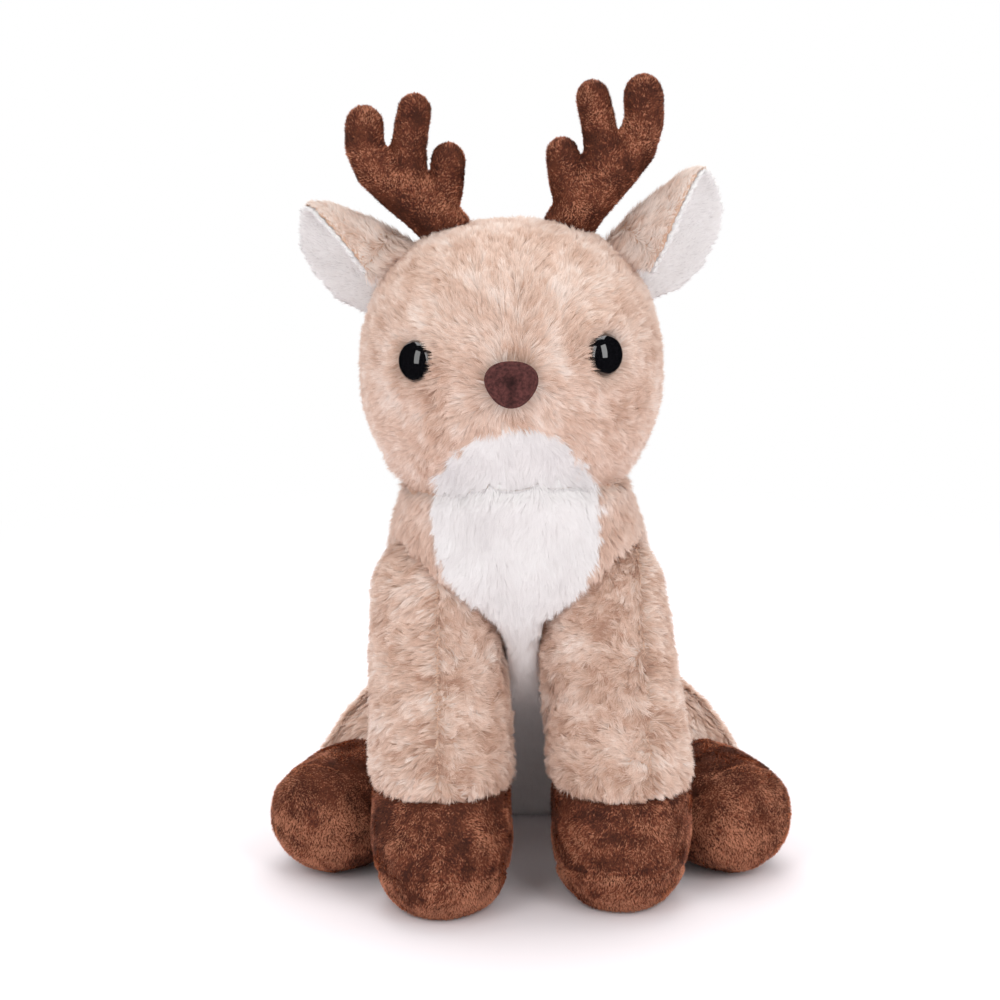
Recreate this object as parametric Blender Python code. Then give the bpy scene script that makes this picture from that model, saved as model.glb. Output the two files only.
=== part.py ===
# Seated plush deer: sewn pile covers over stuffing, safety eyes and nose, and a weighted seat.
# Frame: +Z up, the deer faces -Y, its left side in a front view is at -X.
# The origin lies on the floor, in the flat of the seat.
import math

import bmesh
import bpy
import numpy as np
from mathutils import Matrix, Vector

mm = 0.001
deg = math.pi / 180

for old in list(bpy.data.objects):
    bpy.data.objects.remove(old, do_unlink=True)

# Clearances and cloth
seam_gap = 0.3 * mm
joint_gap = 0.5 * mm
facet_gap = 0.9 * mm
stuffing_gap = 3.5 * mm
core_gap = 0.9 * mm
plush_thickness = 2.0 * mm
velboa_thickness = 1.4 * mm
overrun = 60 * mm
end_ring = 0.6 * mm
pole_angle = 4 * deg
cap_end_angle = 68 * deg
ball_end_angle = 82 * deg

# Torso
torso_height = 162 * mm
torso_half_width = 50 * mm
torso_half_depth = 49 * mm
torso_lean = 80 * mm
torso_side_lean = 5.5 * mm
torso_sides = 22
torso_power = 2.15
bib_half_width = 28 * mm
bib_back = 12 * mm

# Head
head_half_width = 52 * mm
head_half_depth = 51 * mm
head_crown = 52 * mm
head_jaw = 48 * mm
head_x = -7.2 * mm
head_set_back = 2 * mm
head_rise = 21 * mm
head_y = head_set_back - torso_lean
head_z = torso_height + head_rise
head_roll = 2 * deg
head_sides = 22
crown_power = 2.4
jaw_power = 2.15
face_power = 2.05
muzzle_reach = 4 * mm
muzzle_half_width = 15 * mm
muzzle_half_height = 13 * mm
muzzle_height = 3 * mm
neck_radius = 24 * mm
neck_sides = 24
neck_depth = 6 * mm
chin_half_width = 29 * mm
chin_top = -10 * mm
chin_back = 12 * mm

# Eyes, nose and their washers
eye_radius = 7 * mm
eye_dome = 5 * mm
eye_x_share = 0.59
eye_z_share = 0.25
eye_turn = 7 * deg
eye_stand = 0.7 * mm
nose_stand = 0.5 * mm
shank_radius = 2.2 * mm
shank_length = 11 * mm
washer_radius = 8.0 * mm
washer_thickness = 1.6 * mm
eye_washer_drop = 3.0 * mm
nose_washer_drop = 4.4 * mm
nose_half_width = 8.4 * mm
nose_depth = 4.6 * mm
nose_z = 7 * mm
fitting_sides = 12
dome_back_share = 0.94
dome_rings = 6
hole_rise = 3 * mm
nose_corner_share = 0.10
nose_height_share = 0.82

# Antlers
antler_shift = 0.4 * mm
antler_base_x = 21.3 * mm
antler_base_z = 48.7 * mm
antler_y = 10 * mm
antler_spread = 26.7 * mm
antler_rise = 41.5 * mm
antler_base_radius = 9.2 * mm
antler_flatness_share = 0.86
antler_sides = 8
tip_rings = 3

# Ears
ear_length = 46.5 * mm
ear_back_flap = 35 * mm
ear_front_flap = 26 * mm
ear_front_taper_share = 0.3
ear_layer = 2.0 * mm
ear_shift = 3.2 * mm
ear_base_x = 33.6 * mm
ear_base_z = 33.9 * mm
ear_root_depth = 7 * mm
ear_y = 10 * mm
ear_bend = 20 * deg
ear_back_heading = 162 * deg
ear_fold = 129 * deg
ear_tip_fold = 93 * deg
ear_fold_radius = 4.5 * mm
ear_crown_share = 0.20
ear_columns = 13
ear_rim_share = 0.4
ear_tip_share = 0.5

# Front legs and paws
shoulder_half_spacing = 29 * mm
shoulder_x = -4.8 * mm
shoulder_y = -84 * mm
shoulder_z = 104 * mm
shoulder_radius = 22.5 * mm
front_leg_swing = 25 * deg
ankle_half_spacing = 31.5 * mm
ankle_y = -109 * mm
hem_z = 43 * mm
paw_half_width = 24.2 * mm
paw_half_length = 27 * mm
paw_left_lead = 3.5 * mm
sole_z = 12 * mm
sole_tilt = 0.22
sole_ring = 4
leg_sides = 14
cap_rings = 4
coarse_sides = 10

# Hind legs and paws
hip_x = 41 * mm
hip_y = -30 * mm
hip_z = 34 * mm
hip_radius = 25.5 * mm
hind_leg_angle = 31 * deg
hind_leg_reach = 56 * mm
hind_leg_spread = 20 * deg
hind_paw_half_width = 22.5 * mm
hind_paw_half_height = 20.5 * mm
hind_drop_share = 0.30

# Tail
tail_length = 36 * mm
tail_half_width = 14 * mm
tail_half_thickness = 6.5 * mm
tail_z = 50 * mm
tail_lift = 20 * deg
tail_slope = 35 * deg
tail_sides = 14

# Pellet bag
bag_half_width = 30 * mm
bag_half_depth = 20 * mm
bag_height = 22 * mm
bag_power = 2.3

side_names = {-1: "left", 1: "right"}
tan = (0.66, 0.46, 0.35)
white = (0.86, 0.84, 0.83)
brown = (0.14, 0.05, 0.03)
black = (0.01, 0.01, 0.012)
plum = (0.07, 0.025, 0.022)
fibre = (0.8, 0.8, 0.78)


def smooth(rows, steps):
    """Rows of numbers, joined by a smooth curve through every row (Catmull-Rom)."""
    rows = np.array(rows, float)
    ends = np.vstack([2 * rows[0] - rows[1], rows, 2 * rows[-1] - rows[-2]])
    a, b, c, d = ends[:-3], ends[1:-2], ends[2:-1], ends[3:]
    out = []
    for i in range(len(rows) - 1):
        for t in np.arange(steps) / steps:
            cubic = 3 * b[i] - 3 * c[i] + d[i] - a[i]
            square = 2 * a[i] - 5 * b[i] + 4 * c[i] - d[i]
            out.append(b[i] + (t * (c[i] - a[i]) + t**2 * square + t**3 * cubic) / 2)
    return np.array(out + [rows[-1]])


def wave(angle, power):
    """Cosine and sine of an angle, squared off as on a superellipse."""
    c, s = np.cos(angle), np.sin(angle)
    return np.sign(c) * np.abs(c) ** (2 / power), np.sign(s) * np.abs(s) ** (2 / power)


def loops_along(rows, sides, across=(1, 0, 0), behind=(0, 1, 0), along=(0, 0, 1), power=2.0):
    """One ring for each row: its place on the three axes, its two half sizes, and its tilt."""
    rows = np.array(rows, float)
    c, s = wave(np.arange(sides) * 2 * np.pi / sides, power)
    u = rows[:, 0, None] + rows[:, 3, None] * c
    v = rows[:, 1, None] + rows[:, 4, None] * s
    w = rows[:, 2, None] - rows[:, 5, None] * rows[:, 4, None] * s
    return u[..., None] * np.array(across) + v[..., None] * np.array(behind) + w[..., None] * np.array(along)


def grown(loops, distance):
    """The rings moved outwards along the surface's normals."""
    around = np.roll(loops, -1, axis=1) - np.roll(loops, 1, axis=1)
    along = np.gradient(loops, axis=0)
    normal = np.cross(around, along)
    normal /= np.linalg.norm(normal, axis=2, keepdims=True)
    outward = loops - loops.mean(axis=1, keepdims=True)
    middle = len(loops) // 2
    if np.sum(normal[middle] * outward[middle]) < 0:
        normal = -normal
    return loops + normal * distance


def lined(loops, thickness, end):
    """The cloth's inner side, with one end ring kept in the plane of the outer one."""
    inner = grown(loops, -thickness)
    ring = loops[end]
    flat = np.cross(ring[1] - ring[0], ring[len(ring) // 3] - ring[0])
    flat /= np.linalg.norm(flat)
    inner[end] -= np.outer((inner[end] - ring) @ flat, flat)
    return inner


def cup(outer, inner):
    """A bag open at its first ring: up the inside from its closed end, and back over the outside."""
    return np.concatenate([inner[::-1], outer])


def placed(loops, matrix):
    """The rings carried by a 4 by 4 matrix."""
    m = np.array(matrix)
    return loops @ m[:3, :3].T + m[:3, 3]


def solid(name, loops, colour=fibre, pivot=None, ring=False, rough=0.9, guide=False):
    """A mesh object through the rings, closed at both ends, or joined end to end where it is a ring."""
    count, sides = loops.shape[:2]
    points = loops.reshape(-1, 3)
    faces = []
    for i in range(count if ring else count - 1):
        a, b = i * sides, (i + 1) % count * sides
        for j in range(sides):
            k = (j + 1) % sides
            faces.append((a + j, a + k, b + k, b + j))
    if not ring:
        points = np.vstack([points, loops[0].mean(axis=0), loops[-1].mean(axis=0)])
        last = (count - 1) * sides
        for j in range(sides):
            k = (j + 1) % sides
            faces.append((k, j, count * sides))
            faces.append((last + j, last + k, count * sides + 1))
    return from_points(name, points, faces, colour, pivot, rough, guide)


def slab(name, grids, colour, pivot, rough=0.9):
    """A layer of cloth between two grids of points, closed by a strip round its rim."""
    rows, columns = grids.shape[1:3]
    index = np.arange(2 * rows * columns).reshape(2, rows, columns)
    faces = []
    for near in index:
        for i in range(rows - 1):
            faces += list(zip(near[i, :-1], near[i, 1:], near[i + 1, 1:], near[i + 1, :-1]))
    rim = [np.concatenate([g[0], g[1:, -1], g[-1, -2::-1], g[-2:0:-1, 0]]) for g in index]
    faces += list(zip(rim[0], np.roll(rim[0], -1), np.roll(rim[1], -1), rim[1]))
    faces = [tuple(int(corner) for corner in face) for face in faces]
    return from_points(name, grids.reshape(-1, 3), faces, colour, pivot, rough, False)


def from_points(name, points, faces, colour, pivot, rough, guide):
    """A mesh object whose origin is its pivot, with its faces turned outwards."""
    origin = pivot.matrix_world.translation if pivot else Vector((0, 0, 0))
    mesh = bpy.data.meshes.new(name)
    mesh.from_pydata((points - np.array(origin)).tolist(), [], faces)
    work = bmesh.new()
    work.from_mesh(mesh)
    bmesh.ops.remove_doubles(work, verts=work.verts, dist=0.01 * seam_gap)
    bmesh.ops.triangulate(work, faces=work.faces)
    bmesh.ops.recalc_face_normals(work, faces=work.faces)
    work.to_mesh(mesh)
    work.free()
    mesh.shade_smooth()
    mesh.set_sharp_from_angle(angle=40 * deg)
    part = bpy.data.objects.new(name, mesh)
    bpy.context.scene.collection.objects.link(part)
    if pivot:
        part.parent = pivot
    if guide:
        part.hide_render = True
        part.display_type = "WIRE"
        return part
    material = bpy.data.materials.new(name)
    material.use_nodes = True
    shader = material.node_tree.nodes["Principled BSDF"]
    shader.inputs["Base Color"].default_value = (*colour, 1)
    shader.inputs["Roughness"].default_value = rough
    shader.inputs["Metallic"].default_value = 0
    mesh.materials.append(material)
    return part


def pivot_at(name, place):
    """An empty on a joint's axis, which carries the pieces that move with it."""
    empty = bpy.data.objects.new(name, None)
    empty.location = place
    bpy.context.scene.collection.objects.link(empty)
    bpy.context.view_layer.update()
    return empty


def combine(part, other, operation="DIFFERENCE", solver="EXACT"):
    """A Boolean modifier on part, by the other object."""
    step = part.modifiers.new(operation.title(), "BOOLEAN")
    step.operation = operation
    step.solver = solver
    step.object = other
    return part


def turn_about(point, axis, angle):
    """The matrix of a turn about an axis through a point."""
    shift = Matrix.Translation(Vector(point))
    return shift @ Matrix.Rotation(angle, 4, Vector(axis)) @ shift.inverted()


def box_between(name, low, high):
    """A guide block between two corners."""
    middle, half = (np.array(low) + np.array(high)) / 2, (np.array(high) - np.array(low)) / 2
    loops = []
    for z in (-1, 1):
        loops.append([middle + half * np.array((x, y, z)) for x, y in ((-1, -1), (1, -1), (1, 1), (-1, 1))])
    return solid(name, np.array(loops), guide=True)


# Torso: a leaning pear, flat under its seat

# Height, width, depth and lean, as shares of the torso's height, half width, half depth and lean
torso_shares = [
    (-0.003, 0.02, 0.02, 0.02),
    (0.0, 0.52, 0.46, 0.02),
    (0.03, 0.72, 0.60, 0.03),
    (0.10, 0.90, 0.74, 0.06),
    (0.20, 1.00, 0.86, 0.16),
    (0.31, 1.02, 0.97, 0.31),
    (0.42, 1.00, 1.02, 0.47),
    (0.53, 0.98, 1.01, 0.63),
    (0.64, 0.96, 0.97, 0.78),
    (0.74, 0.92, 0.88, 0.90),
    (0.84, 0.82, 0.80, 0.98),
    (0.91, 0.74, 0.80, 1.03),
    (0.97, 0.65, 0.77, 1.06),
    (1.00, 0.02, 0.02, 1.06),
]


def torso_rows():
    """The torso's rings, from under the seat to inside the neck."""
    rows = []
    for height, width, depth, lean in torso_shares:
        x, y, z = -torso_side_lean * lean, -torso_lean * lean, torso_height * height
        rows.append((x, y, z, torso_half_width * width, torso_half_depth * depth, 0))
    return np.array(rows)


torso_form = loops_along(torso_rows(), torso_sides, power=torso_power)
torso_form[..., 2] = np.maximum(torso_form[..., 2], 0)
torso_inside = grown(loops_along(torso_rows(), torso_sides, power=torso_power), -plush_thickness)
torso_inside[..., 2] = np.maximum(torso_inside[..., 2], plush_thickness)
stuffing_form = grown(loops_along(torso_rows(), torso_sides, power=torso_power), -plush_thickness - seam_gap)
stuffing_form[..., 2] = np.maximum(stuffing_form[..., 2], plush_thickness + seam_gap)
stuffing_form = stuffing_form[1:-1, ::2]
torso_inside = torso_inside[1:-1]

torso_cover = solid("torso_cover", torso_form, tan)
torso_stuffing = solid("torso_stuffing", stuffing_form, fibre)
combine(torso_cover, solid("torso_hollow", torso_inside, guide=True))

# Bib: the white panel sewn into the chest and belly, narrow between the front legs
# Height as a share of the torso's height, and half width as a share of the bib's
bib_shares = [(-0.1, 0.54), (0.08, 0.54), (0.25, 0.39), (0.44, 0.28),
              (0.58, 0.38), (0.66, 0.52), (0.74, 0.82), (0.82, 0.98), (1.1, 1.0)]


def bib_region(name, spare):
    """A block over the front of the torso, as wide as the bib at each height."""
    loops = []
    for height, width in smooth(bib_shares, 3):
        lean = np.interp(height, [row[0] for row in torso_shares], [row[3] for row in torso_shares])
        x, half = -torso_side_lean * lean, bib_half_width * width + spare
        back = -torso_lean * lean - bib_back + spare
        z = torso_height * height
        loops.append([(x - half, -torso_lean - overrun * 2, z), (x + half, -torso_lean - overrun * 2, z),
                      (x + half, back, z), (x - half, back, z)])
    return solid(name, np.array(loops), guide=True)


bib_panel = solid("bib_panel", torso_form, white)
combine(bib_panel, solid("bib_hollow", torso_inside, guide=True))
combine(bib_panel, bib_region("bib_outline", 0), "INTERSECT")
combine(torso_cover, bib_region("bib_opening", seam_gap))

# Pellet bag: a weighted bag on the seat's floor, under the stuffing
# Height and size, as shares
bag_shares = [(0, 0.05), (0, 0.8), (0.25, 1), (0.6, 0.94), (0.85, 0.66), (1, 0.05)]


def bag_loops(spare):
    """A low pillow on the seat, as rings from its flat underside up."""
    rows = []
    for share, size in bag_shares:
        half_width, half_depth = size * bag_half_width + spare, size * bag_half_depth + spare
        rows.append((0, 0, share * (bag_height + spare), half_width, half_depth, 0))
    loops = loops_along(rows, torso_sides // 2, power=bag_power)
    loops[..., 2] += plush_thickness + seam_gap
    return loops


pellet_bag = solid("pellet_bag", bag_loops(0), white)
bag_pocket = bag_loops(seam_gap)
bag_pocket[:2, :, 2] -= plush_thickness
combine(torso_stuffing, solid("bag_pocket", bag_pocket, guide=True))

# Head: a round ball with a short muzzle, rolled a little on the neck

head_pivot = pivot_at("head_pivot", (head_x, head_y, head_z))
head_place = Matrix.Translation(Vector((head_x, head_y, head_z))) @ Matrix.Rotation(-head_roll, 4, "Y")
head_axis = Matrix.Rotation(-head_roll, 3, "Y") @ Vector((0, 0, 1))


def head_ball(half_width, half_depth, muzzle):
    """A superellipsoid on the head's own axes, taller above than below, with the muzzle's bulge."""
    latitude = np.linspace(pole_angle - 90 * deg, 90 * deg - pole_angle, head_sides // 2 + 1)
    level, rise = wave(latitude, np.where(latitude > 0, crown_power, jaw_power))
    around, back = wave(np.arange(head_sides) * 2 * np.pi / head_sides - np.pi / 2, face_power)
    height = np.where(rise > 0, head_crown, head_jaw) * rise
    loops = np.stack(np.broadcast_arrays(half_width * level[:, None] * around,
                                         half_depth * level[:, None] * back, height[:, None]), axis=-1)
    above = loops[..., 2] - muzzle_height
    near = (loops[..., 0] / muzzle_half_width) ** 2 + (above / muzzle_half_height) ** 2
    loops[..., 1] -= np.where(loops[..., 1] < 0, muzzle * np.exp(-near), 0)
    return loops


head_form = placed(head_ball(head_half_width, head_half_depth, muzzle_reach), head_place)
head_inside = grown(head_form, -plush_thickness)
head_cover = solid("head_cover", head_form, tan, head_pivot)
combine(head_cover, solid("head_hollow", head_inside, pivot=head_pivot, guide=True))
head_core = grown(head_form, -plush_thickness - seam_gap)[::2, ::2]
head_stuffing = solid("head_stuffing", head_core, fibre, head_pivot)

# The neck's round opening, through the covers of head and torso
neck_rows = [(0, 0, -head_jaw - overrun / 2, neck_radius, neck_radius, 0),
             (0, 0, -head_jaw + neck_depth, neck_radius, neck_radius, 0)]
neck_loops = placed(loops_along(neck_rows, neck_sides), head_place)
neck_hole = solid("neck_hole", neck_loops, pivot=head_pivot, guide=True)
combine(head_cover, neck_hole)

# The dish in which the head turns, round about the head's axis
widest = max(head_half_width, head_half_depth)
head_sweep = placed(grown(head_ball(widest, widest, 0), joint_gap), head_place)
head_dish = solid("head_dish", head_sweep, pivot=head_pivot, guide=True)
combine(torso_cover, head_dish)
combine(bib_panel, head_dish)
coarse_sweep = placed(grown(head_ball(widest, widest, 0), stuffing_gap), head_place)[::2, ::2]
combine(torso_stuffing, solid("stuffing_dish", coarse_sweep, pivot=head_pivot, guide=True))

# Chin: the white panel under the muzzle, an arch in front
chin_shares = [(0.0, 0.06), (0.06, 0.30), (0.16, 0.52), (0.32, 0.72), (0.55, 0.90), (0.8, 0.99), (1.4, 1.0)]


def chin_region(name, spare):
    """A block over the front of the jaw with an arched outline."""
    loops = []
    for drop, width in smooth(chin_shares, 3):
        z, half = chin_top + spare - drop * (head_jaw + chin_top), chin_half_width * width + spare
        front, back = -head_half_depth - overrun, -chin_back + spare
        loops.append([(-half, front, z), (half, front, z), (half, back, z), (-half, back, z)])
    return solid(name, placed(np.array(loops), head_place), pivot=head_pivot, guide=True)


chin_panel = solid("chin_panel", head_form, white, head_pivot)
combine(chin_panel, solid("chin_hollow", head_inside, pivot=head_pivot, guide=True))
combine(chin_panel, neck_hole)
combine(chin_panel, chin_region("chin_outline", 0), "INTERSECT")
combine(head_cover, chin_region("chin_opening", seam_gap))

# Eyes and nose: a dome outside, its shank through the cover, and a locking washer inside


def surface_point(x, z):
    """The depth of the head's surface at a place on the face, in the head's own axes."""
    rise, power = (z / head_crown, crown_power) if z > 0 else (z / head_jaw, jaw_power)
    level = (1 - abs(rise) ** power) ** (1 / power)
    depth = (1 - abs(x / (head_half_width * level)) ** face_power) ** (1 / face_power)
    near = (x / muzzle_half_width) ** 2 + ((z - muzzle_height) / muzzle_half_height) ** 2
    return -head_half_depth * level * depth - muzzle_reach * math.exp(-near)


def face_place(x, z, turn, stand):
    """The matrix that stands a fitting square on the face, turned a little more to the side."""
    step = shank_radius
    slope_x = (surface_point(x + step, z) - surface_point(x - step, z)) / (2 * step)
    slope_z = (surface_point(x, z + step) - surface_point(x, z - step)) / (2 * step)
    square = Vector((slope_x, -1, slope_z)).to_track_quat("Z", "Y").to_matrix().to_4x4()
    spot = Matrix.Translation(Vector((x, surface_point(x, z), z)))
    return head_place @ spot @ Matrix.Rotation(turn, 4, "Z") @ square @ Matrix.Translation((0, 0, stand))


def profile_loops(profile, sides, outline=None):
    """A turned profile of (radius, height) pairs, or one carried round an outline of unit size."""
    angle = np.arange(sides) * 2 * np.pi / sides
    c, s = (np.cos(angle), np.sin(angle)) if outline is None else outline(angle)
    profile = np.array(profile)
    flat = np.broadcast_to(profile[:, 1, None], (len(profile), sides))
    return np.stack([profile[:, 0, None] * c, profile[:, 0, None] * s, flat], axis=-1)


def dome_profile(radius, rise):
    """A shank below and a dome above a flat back, as (radius, height) pairs."""
    pairs = [(end_ring, -shank_length), (shank_radius, -shank_length), (shank_radius, seam_gap),
             (radius * dome_back_share, seam_gap)]
    for angle in np.linspace(0, ball_end_angle, dome_rings):
        pairs.append((radius * math.cos(angle), seam_gap * 2 + rise * math.sin(angle)))
    return pairs


def nose_outline(angle):
    """A rounded triangle, wide above and pointed below."""
    radius = 1 + nose_corner_share * np.sin(3 * angle)
    return radius * np.cos(angle), nose_height_share * radius * np.sin(angle)


# The rings of a dome's profile that belong to its round shank
shank_rings = 3


def washer_loops(place, inside):
    """A flat ring round the shank, from the cover's inner face inwards."""
    hole, top, bottom = shank_radius + seam_gap, -inside, -inside - washer_thickness
    profile = [(hole, top), (washer_radius, top), (washer_radius, bottom), (hole, bottom)]
    return placed(profile_loops(profile, fitting_sides), place)


def bore(name, place, radius, depth):
    """A round guide, from below a fitting's place to above the cover."""
    profile = [(end_ring, -depth), (radius, -depth), (radius, hole_rise), (end_ring, hole_rise)]
    return solid(name, placed(profile_loops(profile, fitting_sides), place), pivot=head_pivot, guide=True)


def fitting(name, place, profile, outline, colour, rough, inside):
    """One dome with its washer, their holes in the cover, and their pockets in the stuffing."""
    loops = profile_loops(profile, fitting_sides, outline)
    loops[:shank_rings] = profile_loops(profile[:shank_rings], fitting_sides)
    dome = solid(name, placed(loops, place), colour, head_pivot, rough=rough)
    solid(name.replace("eye", "eye_washer").replace("nose", "nose_washer"), washer_loops(place, inside),
          (0.75, 0.75, 0.73), head_pivot, ring=True, rough=0.5)
    hole = bore(name + "_hole", place, shank_radius + seam_gap, shank_length + seam_gap)
    pocket = bore(name + "_pocket", place, washer_radius + seam_gap, inside + washer_thickness + seam_gap)
    combine(head_cover, hole)
    combine(head_stuffing, hole, solver="MANIFOLD")
    combine(head_stuffing, pocket, solver="MANIFOLD")
    return dome


for side in (-1, 1):
    eye_x, eye_z = side * eye_x_share * head_half_width, eye_z_share * head_crown
    eye_place = face_place(eye_x, eye_z, side * eye_turn, eye_stand)
    fitting("eye_" + side_names[side], eye_place, dome_profile(eye_radius, eye_dome),
            None, black, 0.05, plush_thickness + eye_stand + eye_washer_drop)
fitting("nose", face_place(0, nose_z, 0, nose_stand), dome_profile(nose_half_width, nose_depth),
        nose_outline, plum, 0.8, plush_thickness + nose_stand + nose_washer_drop)

# Antlers: a front and a back panel of short pile round a stuffed core, sewn to the crown

# Across and up, as shares of the antler's spread and rise, with the radius as a share of the base's
tine_shares = {
    "beam": [(-0.10, -0.30, 1.0), (0.0, 0.01, 0.97), (0.25, 0.21, 0.94), (0.62, 0.42, 0.87),
             (0.90, 0.60, 0.80), (1.02, 0.80, 0.75), (1.015, 1.0, 0.74)],
    "middle": [(0.50, 0.38, 0.80), (0.45, 0.74, 0.66), (0.36, 1.05, 0.64)],
    "inner": [(0.12, 0.18, 0.84), (-0.02, 0.42, 0.66), (-0.055, 0.61, 0.63)],
}
# How far each tine reaches up on either side, as a share of the table's
tine_reach_shares = {"beam": {-1: 0.91, 1: 1.09}, "middle": {-1: 0.97, 1: 1.03}, "inner": {-1: 0.99, 1: 1.01}}


def tine(label, side, shrink):
    """One tine: rings square to its line, flat between front and back, and rounded at its tip."""
    rows = np.array(tine_shares[label])
    x = antler_shift + side * (antler_base_x + rows[:, 0] * antler_spread)
    z = antler_base_z + rows[:, 1] * antler_rise * tine_reach_shares[label][side]
    radius = rows[:, 2] * antler_base_radius - shrink
    line = np.stack([x, z], axis=1)
    heading = np.gradient(line, axis=0)
    heading /= np.linalg.norm(heading, axis=1, keepdims=True)
    tip = np.linspace(0, ball_end_angle, tip_rings + 1)[1:]
    line = np.vstack([line, line[-1] + heading[-1] * radius[-1] * np.sin(tip)[:, None]])
    heading = np.vstack([heading, np.repeat(heading[-1:], len(tip), axis=0)])
    radius = np.concatenate([radius, radius[-1] * np.cos(tip)])
    angle = (np.arange(antler_sides) + 0.5) * 2 * np.pi / antler_sides
    across = np.cos(angle)[None, :] * radius[:, None]
    loops = np.stack([line[:, :1] + across * heading[:, 1:],
                      antler_y + antler_flatness_share * radius[:, None] * np.sin(angle)[None, :],
                      line[:, 1:] - across * heading[:, :1]], axis=-1)
    return placed(loops, head_place)


def antler_body(name, side, shrink, guide, colour):
    """The beam and its two upper tines, joined to one body."""
    body = solid(name, tine("beam", side, shrink), colour, head_pivot, guide=guide)
    for label in ("middle", "inner"):
        other = solid(name + "_" + label, tine(label, side, shrink), pivot=head_pivot, guide=True)
        combine(body, other, "UNION", "MANIFOLD")
    return body


head_seat = solid("head_seat", grown(head_form, seam_gap), pivot=head_pivot, guide=True)
wide = head_half_width * 2 + overrun
for side in (-1, 1):
    name = side_names[side]
    hollow = antler_body("antler_hollow_" + name, side, velboa_thickness, True, brown)
    for half, low, high in (("front", -wide, -seam_gap / 2), ("back", seam_gap / 2, wide)):
        panel = antler_body(f"antler_{half}_{name}", side, 0, False, brown)
        middle_y = head_y + antler_y
        block = box_between(f"antler_{half}_side_{name}", (-wide, middle_y + low, head_z - wide),
                            (wide, middle_y + high, head_z + wide))
        combine(panel, block, "INTERSECT", "MANIFOLD")
        combine(panel, hollow, solver="MANIFOLD")
        combine(panel, head_seat, solver="MANIFOLD")
    core = antler_body("antler_stuffing_" + name, side, velboa_thickness + seam_gap, False, fibre)
    combine(core, head_seat, solver="MANIFOLD")

# Ears: a tan back and a white lining, folded lengthwise with the fold on top

# Along the ear, and the width of the flaps, both as shares
ear_width_shares = [(-0.2, 0.62), (0.0, 0.80), (0.2, 0.98), (0.45, 1.0), (0.7, 0.82), (0.88, 0.60),
                    (0.97, 0.30), (1.0, 0.08)]
ear_angle = {-1: 31.5 * deg, 1: 44 * deg}
ear_pivots = {}


def ear_sheet(side):
    """The middle of the ear's cloth: its heading turns over the fold, and opens out towards the tip."""
    along, width = np.array(ear_width_shares).T
    across = np.linspace(-1, 1, ear_columns)
    front_flap = ear_front_flap * (1 - ear_front_taper_share * along[:, None])
    reach = np.where(across > 0, ear_back_flap, front_flap) * across * width[:, None]
    fold = (ear_fold - (ear_fold - ear_tip_fold) * along)[:, None]
    heading = ear_back_heading - fold / 2 + fold / 2 * np.tanh(reach / ear_fold_radius)
    middle = (heading[:, 1:] + heading[:, :-1]) / 2
    start = np.zeros((len(along), 1))
    v = np.hstack([start, np.cumsum(np.cos(middle) * np.diff(reach), axis=1)])
    w = np.hstack([start, np.cumsum(np.sin(middle) * np.diff(reach), axis=1)])
    crease = len(across) // 2
    v = v - v[:, crease:crease + 1] + ear_back_flap * ear_crown_share * width[:, None]
    w = w - w[:, crease:crease + 1]
    u = np.broadcast_to((along * ear_length)[:, None], v.shape)
    c, s = math.cos(ear_angle[side]), math.sin(ear_angle[side])
    x = ear_shift + side * (ear_base_x + u * c - v * s)
    z = ear_base_z + u * s + v * c
    return np.stack([x, ear_y + w, z], axis=-1)


def ear_layer_solid(name, side, near, far, colour, pivot):
    """One layer of the ear, between two offsets from its middle sheet."""
    sheet = ear_sheet(side)
    normal = np.cross(np.gradient(sheet, axis=0), np.gradient(sheet, axis=1))
    normal *= side / np.linalg.norm(normal, axis=2, keepdims=True)
    rim = 1 - (1 - ear_rim_share) * np.abs(np.linspace(-1, 1, ear_columns)) ** 6
    thick = (far - near) * rim[None, :, None] * np.linspace(1, ear_tip_share, len(sheet))[:, None, None]
    faces = placed(np.stack([sheet + normal * near, sheet + normal * (near + thick)]), head_place)
    return slab(name, faces, colour, pivot)


for side in (-1, 1):
    name = side_names[side]
    c, s = math.cos(ear_angle[side]), math.sin(ear_angle[side])
    root_x, root_z = ear_base_x + ear_root_depth * c, ear_base_z + ear_root_depth * s
    root = head_place @ Vector((ear_shift + side * root_x, ear_y, root_z))
    chord = head_place.to_3x3() @ Vector((side * s, 0, -c))
    pivot = pivot_at("ear_pivot_" + name, root)
    ear_pivots[side] = (root, chord)
    pivot.parent = head_pivot
    pivot.matrix_parent_inverse = head_pivot.matrix_world.inverted()
    bpy.context.view_layer.update()
    back = ear_layer_solid("ear_back_" + name, side, seam_gap / 2, seam_gap / 2 + ear_layer, tan, pivot)
    lining = ear_layer_solid("ear_lining_" + name, side, -seam_gap / 2, -seam_gap / 2 - ear_layer, white, pivot)
    for step in (-1, 1):
        swept = placed(grown(head_form, seam_gap), turn_about(root, chord, step * ear_bend))
        sweep = solid(f"ear_sweep_{name}_{step}", swept, pivot=head_pivot, guide=True)
        combine(back, sweep)
        combine(lining, sweep)

# Front legs: a plush sleeve with a ball at the shoulder, and a short-pile paw with its own sole

# Down the leg, from the shoulder's centre to the hem, and its size, as shares
front_leg_shares = [(0.0, 1.0, 1.0), (0.30, 1.02, 1.04), (0.62, 1.06, 1.10),
                    (0.86, 1.10, 1.17), (1.0, 1.09, 1.18)]
# Height as a share of the hem's, then half width, half length and how far the ring leads, as shares
front_paw_shares = [
    (1.0, 0.985, 0.945, 0.0),
    (0.80, 1.0, 1.0, 0.03),
    (0.55, 1.01, 1.08, 0.09),
    (0.28, 0.94, 1.08, 0.12),
    (0.11, 0.81, 0.93, 0.11),
    (0.0, 0.60, 0.66, 0.08),
    (-0.012, 0.03, 0.03, 0.08),
]


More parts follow.
